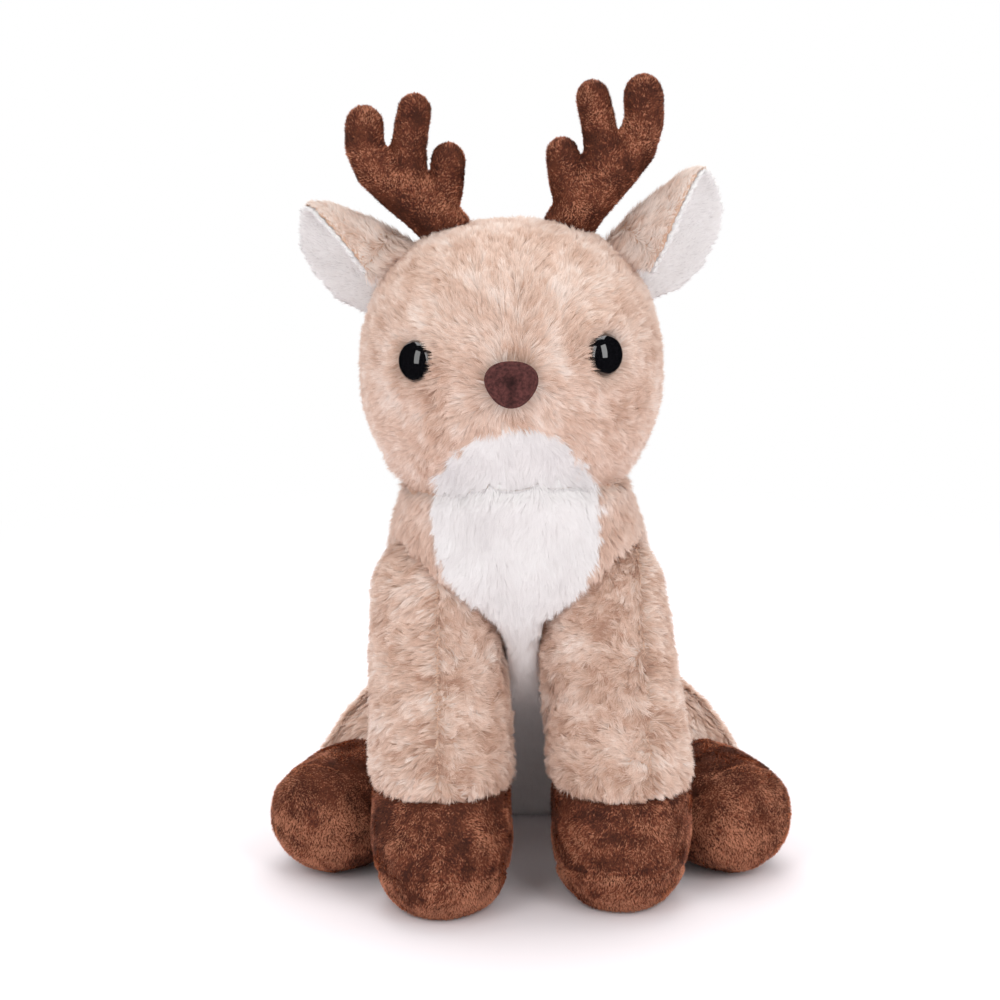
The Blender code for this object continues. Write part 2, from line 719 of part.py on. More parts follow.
def cap_rows(centre, radius):
    """Rings over a ball, from its pole down to its equator."""
    rows = []
    for angle in np.linspace(pole_angle, cap_end_angle, cap_rings):
        rows.append((centre[0], centre[1], centre[2] + radius * math.cos(angle),
                     radius * math.sin(angle), radius * math.sin(angle), 0))
    return rows


def front_leg_rows(side):
    """The sleeve's rings, from the top of the shoulder's ball down to the hem."""
    shoulder = (shoulder_x + side * shoulder_half_spacing, shoulder_y, shoulder_z)
    rows = []
    for down, width, depth in front_leg_shares:
        x = shoulder[0] + down * (side * ankle_half_spacing - shoulder[0])
        y = shoulder_y + down * (ankle_y - shoulder_y)
        z = shoulder_z + down * (hem_z - shoulder_z)
        rows.append((x, y, z, shoulder_radius * width, shoulder_radius * depth, 0))
    return np.vstack([cap_rows(shoulder, shoulder_radius), rows])


def front_paw_rows(side):
    """The paw's rings, from the hem down to under the sole."""
    rows = []
    lead = paw_left_lead if side < 0 else -paw_left_lead
    for height, width, length, forward in front_paw_shares:
        y = ankle_y - forward * paw_half_length - lead * min(1, 2 * (1 - height))
        tilt = sole_tilt * (1 - abs(height - sole_z / hem_z)) if 0 < height < 1 else 0
        half_width, half_length = paw_half_width * width, paw_half_length * length
        rows.append((side * ankle_half_spacing, y, height * hem_z, half_width, half_length, tilt))
    return np.array(rows)


def socket(name, centre, radius, pivot):
    """A ball's room in the torso's covers, and a coarser one in its stuffing."""
    rooms = (("cover", joint_gap + facet_gap, leg_sides), ("stuffing", stuffing_gap, coarse_sides))
    for label, spare, sides in rooms:
        rows = []
        for angle in np.linspace(-ball_end_angle, ball_end_angle, sides // 2 + 1):
            half = (radius + spare) * math.cos(angle)
            rows.append((centre[0], centre[1], centre[2] + (radius + spare) * math.sin(angle), half, half, 0))
        room = solid(f"{name}_{label}_socket", loops_along(rows, sides), pivot=pivot, guide=True)
        for part in (torso_cover, bib_panel) if label == "cover" else (torso_stuffing,):
            combine(part, room)


def leg_room(name, leg, turn, pivot):
    """The leg's column, turned to one end of its range, taken out of the torso."""
    column = placed(grown(leg, joint_gap + facet_gap)[cap_rings:], turn)
    room = solid(name, column, pivot=pivot, guide=True)
    for part in (torso_cover, bib_panel):
        combine(part, room)
    coarse = placed(grown(leg, stuffing_gap)[cap_rings:, ::2], turn)
    combine(torso_stuffing, solid(name + "_stuffing", coarse, pivot=pivot, guide=True))


def rested(loops, lowest=0):
    """The rings with their underside pressed flat on the floor."""
    out = loops.copy()
    out[..., 2] = np.maximum(out[..., 2], lowest)
    return out


def leg_core(leg, paw):
    """A leg's stuffing, from the sole back: every second ring and corner, inside both covers."""
    spare = -plush_thickness - core_gap
    loops = np.concatenate([grown(leg, spare)[:-1], grown(paw, spare)])
    return rested(loops, plush_thickness + seam_gap)[::-2, ::2]


for side in (-1, 1):
    name = side_names[side]
    shoulder = (shoulder_x + side * shoulder_half_spacing, shoulder_y, shoulder_z)
    pivot = pivot_at("shoulder_pivot_" + name, shoulder)
    leg = loops_along(front_leg_rows(side), leg_sides)
    paw = loops_along(front_paw_rows(side), leg_sides)
    leg_in = lined(leg, plush_thickness, -1)
    rise = np.array((0, 0, seam_gap))
    solid("front_leg_cover_" + name, cup(leg[::-1] + rise, leg_in[::-1] + rise), tan, pivot)
    paw_in = lined(paw, velboa_thickness, 0)
    upper, upper_in = paw[:sole_ring], paw_in[:sole_ring]
    solid("front_paw_upper_" + name, np.concatenate([upper, upper_in[::-1]]), brown, pivot, ring=True)
    sole, sole_in = paw[sole_ring - 1:] - rise, paw_in[sole_ring - 1:] - rise
    solid("front_paw_sole_" + name, cup(rested(sole), rested(sole_in, velboa_thickness)), brown, pivot)
    solid("front_leg_stuffing_" + name, leg_core(leg, paw), fibre, pivot)
    for step in (0, 1):
        swing = turn_about(shoulder, (-1, 0, 0), step * front_leg_swing)
        leg_room(f"front_leg_sweep_{name}_{step}", leg, swing, pivot)
    socket(name + "_shoulder", shoulder, shoulder_radius, pivot)

# Hind legs: the same make, lying forwards and outwards from a ball at the hip

# Along the leg as a share of its reach, half width and half height as shares of the hip's radius, and the drop
hind_leg_shares = [(0.0, 1.0, 1.0, 0.0), (0.28, 1.0, 0.99, 0.06),
                   (0.50, 0.95, 0.92, 0.16), (0.66, 0.91, 0.85, 0.25)]
# The same for the paw, as shares of its own half sizes
hind_paw_shares = [
    (0.66, 0.94, 0.97, 0.25),
    (0.78, 1.0, 1.0, 0.28),
    (0.96, 1.03, 1.02, 0.30),
    (1.14, 0.99, 0.98, 0.30),
    (1.28, 0.84, 0.84, 0.30),
    (1.36, 0.58, 0.58, 0.30),
    (1.38, 0.03, 0.03, 0.30),
]


def hind_axes(side):
    """Across the leg, up, and along it towards the paw."""
    c, s = math.cos(hind_leg_angle), math.sin(hind_leg_angle)
    return (c * side, s, 0), (0, 0, 1), (s * side, -c, 0)


def hind_loops(shares, side, half_width, half_height):
    """Rings square to the leg's line, each as low as its share of the hip's height above the paw's middle."""
    across, up, along = (np.array(axis) for axis in hind_axes(side))
    hip = np.array((side * hip_x, hip_y, hip_z))
    fall = (hip_z - hind_paw_half_height) / hind_drop_share
    rows = []
    for reach, width, height, drop in shares:
        rows.append((hip @ across, hip[2] - fall * drop, hip @ along + reach * hind_leg_reach,
                     half_width * width, half_height * height, 0))
    return loops_along(rows, leg_sides, across, up, along)


def hip_cap(side):
    """The back of the hip's ball, as rings from its pole to its equator."""
    across, up, along = (np.array(axis) for axis in hind_axes(side))
    hip = np.array((side * hip_x, hip_y, hip_z))
    rows = []
    for angle in np.linspace(pole_angle, cap_end_angle, cap_rings):
        radius = hip_radius * math.sin(angle)
        rows.append((hip @ across, hip_z, hip @ along - hip_radius * math.cos(angle), radius, radius, 0))
    return loops_along(rows, leg_sides, across, up, along)


for side in (-1, 1):
    name = side_names[side]
    hip = (side * hip_x, hip_y, hip_z)
    pivot = pivot_at("hip_pivot_" + name, hip)
    leg = np.concatenate([hip_cap(side), hind_loops(hind_leg_shares, side, hip_radius, hip_radius)])
    paw = hind_loops(hind_paw_shares, side, hind_paw_half_width, hind_paw_half_height)
    along = np.array(hind_axes(side)[2])
    leg_in = lined(leg, plush_thickness, -1)
    solid("hind_leg_cover_" + name, cup(rested(leg - along * seam_gap)[::-1],
                                        rested(leg_in - along * seam_gap, plush_thickness)[::-1]), tan, pivot)
    paw_in = lined(paw, velboa_thickness, 0)
    upper, upper_in = rested(paw[:sole_ring]), rested(paw_in[:sole_ring], velboa_thickness)
    solid("hind_paw_upper_" + name, np.concatenate([upper, upper_in[::-1]]), brown, pivot, ring=True)
    sole, sole_in = paw[sole_ring - 1:] + along * seam_gap, paw_in[sole_ring - 1:] + along * seam_gap
    solid("hind_paw_sole_" + name, cup(rested(sole), rested(sole_in, velboa_thickness)), brown, pivot)
    solid("hind_leg_stuffing_" + name, leg_core(leg, paw), fibre, pivot)
    for step in (0, 1):
        spread = turn_about(hip, (0, 0, side), step * hind_leg_spread)
        leg_room(f"hind_leg_sweep_{name}_{step}", leg, spread, pivot)
    socket(name + "_hip", hip, hip_radius, pivot)

# Tail: a short flattened drop, tan above and white below, sewn to the back

# Along the tail, and its size, as shares
tail_shares = [(0.0, 0.55), (0.25, 0.9), (0.55, 1.0), (0.8, 0.8), (0.95, 0.45), (1.0, 0.05)]
tail_rows = []
for share, size in tail_shares:
    tail_rows.append((0, 0, share * tail_length, size * tail_half_width, size * tail_half_thickness, 0))
tail_y = float(np.interp(tail_z, torso_form[:, 0, 2], (torso_form[..., 1].max(axis=1))))
tail_root = (0, tail_y, tail_z)
tail_pivot = pivot_at("tail_pivot", tail_root)
tail_place = Matrix.Translation(Vector(tail_root)) @ Matrix.Rotation(-90 * deg + tail_slope, 4, "X")
tail_form = loops_along(tail_rows, tail_sides)
tail_form[..., 2] -= tail_half_thickness
tail_form = placed(tail_form, tail_place)
tail_halves = (("tail_top", tan, seam_gap / 2, wide), ("tail_underside", white, -wide, -seam_gap / 2))
for label, colour, low, high in tail_halves:
    half = solid(label, tail_form, colour, tail_pivot)
    block = loops_along([(0, 0, -wide, wide, wide, 0), (0, 0, wide, wide, wide, 0)], 4)
    block[..., 1] = np.where(block[..., 1] > 0, -low, -high)
    combine(half, solid(label + "_side", placed(block, tail_place), pivot=tail_pivot, guide=True), "INTERSECT")
    for step in (0, 1):
        swept = placed(grown(torso_form, seam_gap), turn_about(tail_root, (-1, 0, 0), step * tail_lift))
        combine(half, solid(f"{label}_sweep_{step}", swept, pivot=tail_pivot, guide=True))

print("neck", head_place.translation, head_axis)
for side in (-1, 1):
    print("ear", side_names[side], *ear_pivots[side])
print("tail", tail_root)
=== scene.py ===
import math

import bmesh
import bpy
import numpy as np
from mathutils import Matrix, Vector


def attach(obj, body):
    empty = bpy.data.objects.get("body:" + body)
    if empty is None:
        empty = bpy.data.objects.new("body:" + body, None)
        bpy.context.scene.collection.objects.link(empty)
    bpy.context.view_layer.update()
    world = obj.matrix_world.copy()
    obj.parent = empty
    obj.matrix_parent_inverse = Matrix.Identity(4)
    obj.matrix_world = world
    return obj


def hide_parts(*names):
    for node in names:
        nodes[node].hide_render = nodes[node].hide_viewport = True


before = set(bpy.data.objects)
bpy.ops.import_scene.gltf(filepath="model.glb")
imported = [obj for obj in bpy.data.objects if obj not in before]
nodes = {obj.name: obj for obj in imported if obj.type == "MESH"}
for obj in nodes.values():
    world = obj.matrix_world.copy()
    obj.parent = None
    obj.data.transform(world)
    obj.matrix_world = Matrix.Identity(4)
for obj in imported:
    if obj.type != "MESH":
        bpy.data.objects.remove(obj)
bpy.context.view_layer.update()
mm = 0.001
deg = math.pi / 180
sides = ("left", "right")

# Studio: a seamless white floor, one soft box in front on each side and one above and behind.
# The camera stands about a metre away and looks down a little, as the photograph's does.

camera_distance = 1.05
camera_pitch = 14 * deg
camera_target = Vector((-11.2 * mm, -55 * mm, 131 * mm))
camera_lens = 104.5
room_light = 1.0
room_front_share = 0.36
box_aside, box_ahead, box_height = 0.46, 0.72, 0.54
box_width, box_tall = 0.38, 0.86
box_left_watts, box_right_watts, box_top_watts = 2.45, 2.9, 5.5
box_top_place = (0.0, 0.35, 1.25)
box_top_width = 0.9
lit_point = Vector((0, -0.05, 0.12))
floor_near = 0.24
floor_white = 0.50
floor_pink = (0.97, 0.91665, 0.9409, 1)

view = Vector((0, math.cos(camera_pitch), -math.sin(camera_pitch)))
camera = bpy.data.objects.new("camera", bpy.data.cameras.new("camera"))
camera.data.lens = camera_lens
camera.data.sensor_width = 36
camera.location = camera_target - view * camera_distance
camera.rotation_euler = (math.pi / 2 - camera_pitch, 0, 0)
bpy.context.scene.collection.objects.link(camera)
bpy.context.scene.camera = camera
bpy.context.scene.view_settings.view_transform = "Standard"


def by_camera(tree, camera_value, light_value):
    """A value: one number for what the camera sees, another for the light that falls on things."""
    path = tree.nodes.new("ShaderNodeLightPath")
    mix = tree.nodes.new("ShaderNodeMix")
    mix.inputs["A"].default_value = light_value
    mix.inputs["B"].default_value = camera_value
    tree.links.new(path.outputs["Is Camera Ray"], mix.inputs["Factor"])
    return mix


world = bpy.data.worlds.new("studio")
world.use_nodes = True
background = world.node_tree.nodes["Background"]
background.inputs["Color"].default_value = (1, 1, 1, 1)
room = by_camera(world.node_tree, 1.0, room_light)
room_place = world.node_tree.nodes.new("ShaderNodeTexCoord")
room_split = world.node_tree.nodes.new("ShaderNodeSeparateXYZ")
room_fall = world.node_tree.nodes.new("ShaderNodeMapRange")
room_fall.inputs["From Min"].default_value = -0.9
room_fall.inputs["From Max"].default_value = 0.1
room_fall.inputs["To Min"].default_value = room_light * room_front_share
room_fall.inputs["To Max"].default_value = room_light
world.node_tree.links.new(room_place.outputs["Generated"], room_split.inputs["Vector"])
world.node_tree.links.new(room_split.outputs["Y"], room_fall.inputs["Value"])
world.node_tree.links.new(room_fall.outputs["Result"], room.inputs["A"])
world.node_tree.links.new(room.outputs["Result"], background.inputs["Strength"])
world.cycles_visibility.glossy = False
bpy.context.scene.world = world


def soft_box(name, place, width, height, watts):
    """A rectangular lamp that faces the middle of the object."""
    lamp = bpy.data.lights.new(name, "AREA")
    lamp.shape = "RECTANGLE"
    lamp.size, lamp.size_y, lamp.energy = width, height, watts
    holder = bpy.data.objects.new(name, lamp)
    holder.location = place
    holder.rotation_euler = (lit_point - Vector(place)).to_track_quat("-Z", "Y").to_euler()
    bpy.context.scene.collection.objects.link(holder)


soft_box("box_left", (-box_aside, -box_ahead, box_height), box_width, box_tall, box_left_watts)
soft_box("box_right", (box_aside, -box_ahead, box_height), box_width, box_tall, box_right_watts)
soft_box("box_top", box_top_place, box_top_width, box_top_width, box_top_watts)

floor_mesh = bpy.data.meshes.new("floor")
floor_mesh.from_pydata([(-9, -3, 0), (9, -3, 0), (9, 14, 0), (-9, 14, 0)], [], [(0, 1, 2, 3)])
floor = bpy.data.objects.new("floor", floor_mesh)
bpy.context.scene.collection.objects.link(floor)
floor_paint = bpy.data.materials.new("floor_paint")
floor_paint.use_nodes = True
tree = floor_paint.node_tree
floor_shader = tree.nodes["Principled BSDF"]
floor_shader.inputs["Base Color"].default_value = floor_pink
floor_place = tree.nodes.new("ShaderNodeTexCoord")
floor_reach = tree.nodes.new("ShaderNodeVectorMath")
floor_reach.operation = "LENGTH"
floor_far = tree.nodes.new("ShaderNodeMapRange")
floor_far.interpolation_type = "SMOOTHSTEP"
floor_far.inputs["From Min"].default_value = floor_near
floor_far.inputs["From Max"].default_value = floor_white
floor_white_mix = by_camera(tree, 1, 0)
floor_light = tree.nodes.new("ShaderNodeEmission")
floor_blend = tree.nodes.new("ShaderNodeMixShader")
tree.links.new(floor_place.outputs["Object"], floor_reach.inputs[0])
tree.links.new(floor_reach.outputs["Value"], floor_far.inputs["Value"])
tree.links.new(floor_far.outputs["Result"], floor_white_mix.inputs["B"])
tree.links.new(floor_white_mix.outputs["Result"], floor_blend.inputs["Fac"])
tree.links.new(floor_shader.outputs["BSDF"], floor_blend.inputs[1])
tree.links.new(floor_light.outputs["Emission"], floor_blend.inputs[2])
tree.links.new(floor_blend.outputs["Shader"], tree.nodes["Material Output"].inputs["Surface"])
floor_shader.inputs["Roughness"].default_value = 0.9
floor_shader.inputs["Specular IOR Level"].default_value = 0.1
floor_mesh.materials.append(floor_paint)
floor.visible_glossy = False

# Head: a stuffed ball of tan plush with a white panel under the muzzle.
# Its pile is about 6 mm long, fine and dense, and brushed away from the nose on every side.

pile_length = 5.6 * mm
pile_width = 0.30 * mm
pile_per_mm2 = 9.5
backing_voxel = 3 * mm
eye_clearance = 7.0 * mm
nose_clearance = 7.4 * mm
head_bottom = 143 * mm
neck_top = 152 * mm
muzzle_in = 4 * mm
chin_step = 2.5 * mm
skin_share = 0.75
socket_radius = 9.6 * mm
socket_width = 3.6 * mm
socket_rise = 2.9 * mm
fringe_band = 9 * mm
fringe_more_share = 0.55
crown_painted_light = 0.05
chin_rise = 2.6 * mm
chin_share = 0.93
neck_bare = 2.2 * mm


def unit(vectors):
    """v / |v|."""
    return vectors / np.maximum(np.linalg.norm(vectors, axis=-1, keepdims=True), 1e-9)


def ripple(points, size, seed):
    """Smooth noise from about -1 to 1: the sum over 9 waves of sin(2 pi k.p / size + phase), over 3."""
    rng = np.random.default_rng(seed)
    k = unit(rng.normal(size=(9, 3))) * rng.uniform(0.6, 1.5, (9, 1))
    return np.sin(2 * np.pi * points @ k.T / size + rng.uniform(0, 2 * np.pi, 9)).sum(axis=1) / 3


def plain_material(name, rough, specular):
    """A material with its shader, for a section to add its nodes to."""
    material = bpy.data.materials.new(name)
    material.use_nodes = True
    shader = material.node_tree.nodes["Principled BSDF"]
    shader.inputs["Roughness"].default_value = rough
    shader.inputs["Specular IOR Level"].default_value = specular
    return material, material.node_tree, shader


def pile_material(name, stops, root_shade, sheen_tint):
    """Fibres: a ramp over the tone in the UV's first axis, darkened towards the root along its second, as
    painted shade deep in the pile.
    A fibre seen from its underside shows the light that comes through it."""
    material, tree, shader = plain_material(name, 0.75, 0.3)
    shader.inputs["Sheen Weight"].default_value = 0.3
    shader.inputs["Sheen Roughness"].default_value = 0.4
    shader.inputs["Sheen Tint"].default_value = (*sheen_tint, 1)
    place = tree.nodes.new("ShaderNodeUVMap")
    place.uv_map = "OFBake"
    split = tree.nodes.new("ShaderNodeSeparateXYZ")
    tone = tree.nodes.new("ShaderNodeValToRGB")
    while len(tone.color_ramp.elements) < len(stops):
        tone.color_ramp.elements.new(0.5)
    for element, (position, colour) in zip(tone.color_ramp.elements, stops):
        element.position = position
        element.color = (*colour, 1)
    shade = tree.nodes.new("ShaderNodeMapRange")
    shade.inputs["To Min"].default_value = root_shade
    shade.inputs["To Max"].default_value = 1
    mix = tree.nodes.new("ShaderNodeVectorMath")
    mix.operation = "SCALE"
    tree.links.new(place.outputs["UV"], split.inputs["Vector"])
    tree.links.new(split.outputs["X"], tone.inputs["Fac"])
    tree.links.new(split.outputs["Y"], shade.inputs["Value"])
    tree.links.new(tone.outputs["Color"], mix.inputs[0])
    tree.links.new(shade.outputs["Result"], mix.inputs["Scale"])
    tree.links.new(mix.outputs["Vector"], shader.inputs["Base Color"])
    through = tree.nodes.new("ShaderNodeBsdfTranslucent")
    facing = tree.nodes.new("ShaderNodeNewGeometry")
    both = tree.nodes.new("ShaderNodeMixShader")
    tree.links.new(mix.outputs["Vector"], through.inputs["Color"])
    tree.links.new(facing.outputs["Backfacing"], both.inputs["Fac"])
    tree.links.new(shader.outputs["BSDF"], both.inputs[1])
    tree.links.new(through.outputs["BSDF"], both.inputs[2])
    tree.links.new(both.outputs["Shader"], tree.nodes["Material Output"].inputs["Surface"])
    return material


def cloth_material(name, colour, dark, rough=0.9, grain=1400, patches=140, depth=0.4 * mm):
    """Two tones by coarse noise over Object coordinates, with fine noise as a bump."""
    material, tree, shader = plain_material(name, rough, 0.2)
    place = tree.nodes.new("ShaderNodeTexCoord")
    coarse = tree.nodes.new("ShaderNodeTexNoise")
    coarse.inputs["Scale"].default_value = patches
    coarse.inputs["Detail"].default_value = 6
    tone = tree.nodes.new("ShaderNodeValToRGB")
    for element, (position, shade) in zip(tone.color_ramp.elements, ((0.35, dark), (0.65, colour))):
        element.position = position
        element.color = (*shade, 1)
    fine = tree.nodes.new("ShaderNodeTexNoise")
    fine.inputs["Scale"].default_value = grain
    bump = tree.nodes.new("ShaderNodeBump")
    bump.inputs["Strength"].default_value = 0.5
    bump.inputs["Distance"].default_value = depth
    tree.links.new(place.outputs["Object"], coarse.inputs["Vector"])
    tree.links.new(place.outputs["Object"], fine.inputs["Vector"])
    tree.links.new(coarse.outputs["Fac"], tone.inputs["Fac"])
    tree.links.new(tone.outputs["Color"], shader.inputs["Base Color"])
    tree.links.new(fine.outputs["Fac"], bump.inputs["Height"])
    tree.links.new(bump.outputs["Normal"], shader.inputs["Normal"])
    return material


def panelled(name, material, other_colour, other_dark):
    """A copy of a cloth material with a second pair of tones where the mesh's attribute "panel" is 1: a white
    panel on the head and torso, painted shade in the dents on the nose.
    """
    both = material.copy()
    both.name = name
    tree = both.node_tree
    tone = next(node for node in tree.nodes if node.type == "VALTORGB")
    coarse = tone.inputs["Fac"].links[0].from_socket
    other = tree.nodes.new("ShaderNodeValToRGB")
    tones = (0.35, other_dark), (0.65, other_colour)
    for element, (position, shade) in zip(other.color_ramp.elements, tones):
        element.position = position
        element.color = (*shade, 1)
    panel = tree.nodes.new("ShaderNodeAttribute")
    panel.attribute_name = "panel"
    mix = tree.nodes.new("ShaderNodeMix")
    mix.data_type = "RGBA"
    tree.links.new(coarse, other.inputs["Fac"])
    tree.links.new(panel.outputs["Fac"], mix.inputs["Factor"])
    tree.links.new(tone.outputs["Color"], mix.inputs[6])
    tree.links.new(other.outputs["Color"], mix.inputs[7])
    tree.links.new(mix.outputs[2], tree.nodes["Principled BSDF"].inputs["Base Color"])
    return both


def mark(piece, share):
    """Writes the attribute "panel", vertex by vertex."""
    piece.data.attributes.new("panel", "FLOAT", "POINT").data.foreach_set("value", share.astype(np.float32))


def corners_of(name):
    """A CAD node's vertices as an array."""
    mesh = nodes[name].data
    points = np.empty(len(mesh.vertices) * 3)
    mesh.vertices.foreach_get("co", points)
    return points.reshape(-1, 3)


def middle_of(name):
    """The middle of a CAD node's box."""
    points = corners_of(name)
    return (points.min(axis=0) + points.max(axis=0)) / 2


def centre_of(name):
    """The mean of a CAD node's vertices."""
    return corners_of(name).mean(axis=0)


def hull_of(members):
    """The convex hull of CAD nodes, as a bmesh with its normals outwards."""
    work = bmesh.new()
    for corner in np.concatenate([corners_of(member) for member in members]):
        work.verts.new(corner)
    bmesh.ops.convex_hull(work, input=work.verts)
    bmesh.ops.delete(work, geom=[vert for vert in work.verts if not vert.link_faces])
    bmesh.ops.recalc_face_normals(work, faces=work.faces)
    return work


def height_over(points, members):
    """How far points lie outside the convex hull of CAD nodes, by its nearest plane."""
    work = hull_of(members)
    planes = np.array([face.normal[:] for face in work.faces])
    levels = np.array([face.normal.dot(face.verts[0].co) for face in work.faces])
    work.free()
    parts = np.array_split(points, len(points) // 4000 + 1)
    return np.concatenate([(part @ planes.T - levels).max(axis=1) for part in parts])


def inside(points, members, spare):
    """Whether points lie deeper than spare within the convex hull of CAD nodes."""
    return height_over(points, members) < -spare


def stuffed(name, members, voxel, material, hull=True, relax=6):
    """One closed skin over CAD nodes: their convex hull or their joined solids, remeshed and relaxed."""
    if hull:
        work = hull_of(members)
    else:
        work = bmesh.new()
        for member in members:
            work.from_mesh(nodes[member].data)
    mesh = bpy.data.meshes.new(name)
    work.to_mesh(mesh)
    work.free()
    piece = bpy.data.objects.new(name, mesh)
    bpy.context.scene.collection.objects.link(piece)
    remesh = piece.modifiers.new("remesh", "REMESH")
    remesh.mode = "VOXEL"
    remesh.voxel_size = voxel
    settle = piece.modifiers.new("settle", "SMOOTH")
    settle.factor = 0.5
    settle.iterations = relax
    bpy.context.view_layer.update()
    final = bpy.data.meshes.new_from_object(piece.evaluated_get(bpy.context.evaluated_depsgraph_get()))
    piece.modifiers.clear()
    piece.data = final
    final.name = name
    final.materials.clear()
    final.materials.append(material)
    final.shade_smooth()
    return piece


def vertices_of(piece):
    """A piece's vertices and their normals, as two arrays."""
    mesh = piece.data
    points, normals = np.empty(len(mesh.vertices) * 3), np.empty(len(mesh.vertices) * 3)
    mesh.vertices.foreach_get("co", points)
    mesh.vertices.foreach_get("normal", normals)
    return points.reshape(-1, 3), normals.reshape(-1, 3)


def put_vertices(piece, points):
    """Moves a piece's vertices to new places."""
    piece.data.vertices.foreach_set("co", points.astype(np.float32).ravel())
    piece.data.update()


def scatter(piece, per_mm2, seed):
    """Random roots and normals, even by area: a triangle by its share of the area, and a point in it."""
    mesh = piece.data
    mesh.calc_loop_triangles()
    index = np.empty(len(mesh.loop_triangles) * 3, np.int32)
    mesh.loop_triangles.foreach_get("vertices", index)
    index = index.reshape(-1, 3)
    points, normals = vertices_of(piece)
    corner = points[index]
    rng = np.random.default_rng(seed)
    area = np.linalg.norm(np.cross(corner[:, 1] - corner[:, 0], corner[:, 2] - corner[:, 0]), axis=1) / 2
    count = int(area.sum() * per_mm2 / mm**2)
    chosen = np.minimum(np.searchsorted(np.cumsum(area), rng.uniform(0, area.sum(), count)), len(area) - 1)
    a, b = np.sqrt(rng.uniform(size=count)), rng.uniform(size=count)
    weight = np.stack([1 - a, a * (1 - b), a * b], axis=1)[..., None]
    return (corner[chosen] * weight).sum(axis=1), unit((normals[index[chosen]] * weight).sum(axis=1))


def blades(name, points, normals, level, material, body):
    """A mesh of three-cornered blades, shaded mostly by the skin's normals.
    The UV is (tone, share of length)."""
    count = len(points)
    mesh = bpy.data.meshes.new(name)
    mesh.vertices.add(count * 3)
    mesh.vertices.foreach_set("co", points.astype(np.float32).ravel())
    mesh.loops.add(count * 3)
    mesh.loops.foreach_set("vertex_index", np.arange(count * 3, dtype=np.int32))
    mesh.polygons.add(count)
    mesh.polygons.foreach_set("loop_start", np.arange(count, dtype=np.int32) * 3)
    mesh.update(calc_edges=True)
    uv = np.empty((count, 3, 2), np.float32)
    uv[..., 0] = level[:, None] + np.array([-0.004, 0.004, 0])
    uv[..., 1] = np.array([0, 0, 1])
    mesh.uv_layers.new(name="OFBake").data.foreach_set("uv", uv.ravel())
    flat = unit(np.cross(points[:, 1] - points[:, 0], points[:, 2] - points[:, 0]))
    flat *= np.sign((flat * normals).sum(axis=1, keepdims=True) + 1e-9)
    shown = unit(normals * skin_share + flat * (1 - skin_share))
    mesh.normals_split_custom_set_from_vertices(np.repeat(shown, 3, axis=0).tolist())
    mesh.materials.append(material)
    piece = bpy.data.objects.new(name, mesh)
    bpy.context.scene.collection.objects.link(piece)
    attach(piece, body)
    return piece


def coat(name, roots, normals, comb, material, body, seed, length=pile_length, width=pile_width,
         cell=1.5 * mm, gather=0.5, lift=0.36, swirl=0.3, tone=0.6, spread=0.16, mottle=0.35):
    """A piece of pile. A fibre leaves its root along lift * n + t, where n is the surface's normal and t
    the comb's direction in the surface, turned by noise. Tips draw together by the share gather
    towards the mean tip of their tuft, which is a cell of a warped lattice."""
    rng = np.random.default_rng(seed)
    count = len(roots)
    warp = np.stack([ripple(roots, 6 * mm, seed + i) for i in (1, 2, 3)], axis=1) * cell
    _, tuft = np.unique(np.floor((roots + warp) / cell).astype(np.int64), axis=0, return_inverse=True)
    tuft = tuft.ravel()
    tufts = tuft.max() + 1
    members = np.bincount(tuft, minlength=tufts)[:, None]
    t = unit(comb - (comb * normals).sum(axis=1, keepdims=True) * normals)
    turn = swirl * (ripple(roots, 17 * mm, seed + 4) + 0.6 * ripple(roots, 6 * mm, seed + 7)
                    + 0.45 * rng.normal(size=tufts)[tuft] + 0.5 * rng.normal(size=count))
    turn = np.broadcast_to(turn, count)[:, None]
    t = t * np.cos(turn) + np.cross(normals, t) * np.sin(turn)
    rise = lift * (1 + 0.25 * ripple(roots, 11 * mm, seed + 5) + 0.25 * rng.normal(size=tufts)[tuft]
                   + 0.3 * rng.normal(size=count))
    rise = np.maximum(np.broadcast_to(rise, count), 0.12)[:, None]
    reach = np.broadcast_to(length, count)[:, None] * rng.uniform(0.55, 1.1, (count, 1))
    tips = roots + reach * unit(t + normals * rise)
    mean = np.stack([np.bincount(tuft, tips[:, i], tufts) for i in range(3)], axis=1) / members
    tips += (mean[tuft] - tips) * gather
    across = unit(np.cross(tips - roots, normals)) * width / 2
    level = tone + spread * (mottle * rng.normal(size=tufts)[tuft] + 0.6 * ripple(roots, 19 * mm, seed + 6)
                             + 0.4 * ripple(roots, 7 * mm, seed + 8) + 0.35 * rng.normal(size=count))
    points = np.stack([roots - across, roots + across, tips], axis=1)
    return blades(name, points, normals, np.clip(level, 0.01, 0.99), material, body)


def edges_of(name, axis, step):
    """A CAD node's lowest and highest place on an axis at each height, as a function of the height."""
    points = corners_of(name)
    row = ((points[:, 2] - points[:, 2].min()) / step).astype(int)
    low, high = np.full(row.max() + 1, np.inf), np.full(row.max() + 1, -np.inf)
    np.minimum.at(low, row, points[:, axis])
    np.maximum.at(high, row, points[:, axis])
    level = points[:, 2].min() + (np.arange(len(low)) + 0.5) * step
    found = np.isfinite(low)
    return lambda z: (np.interp(z, level[found], low[found]), np.interp(z, level[found], high[found]))


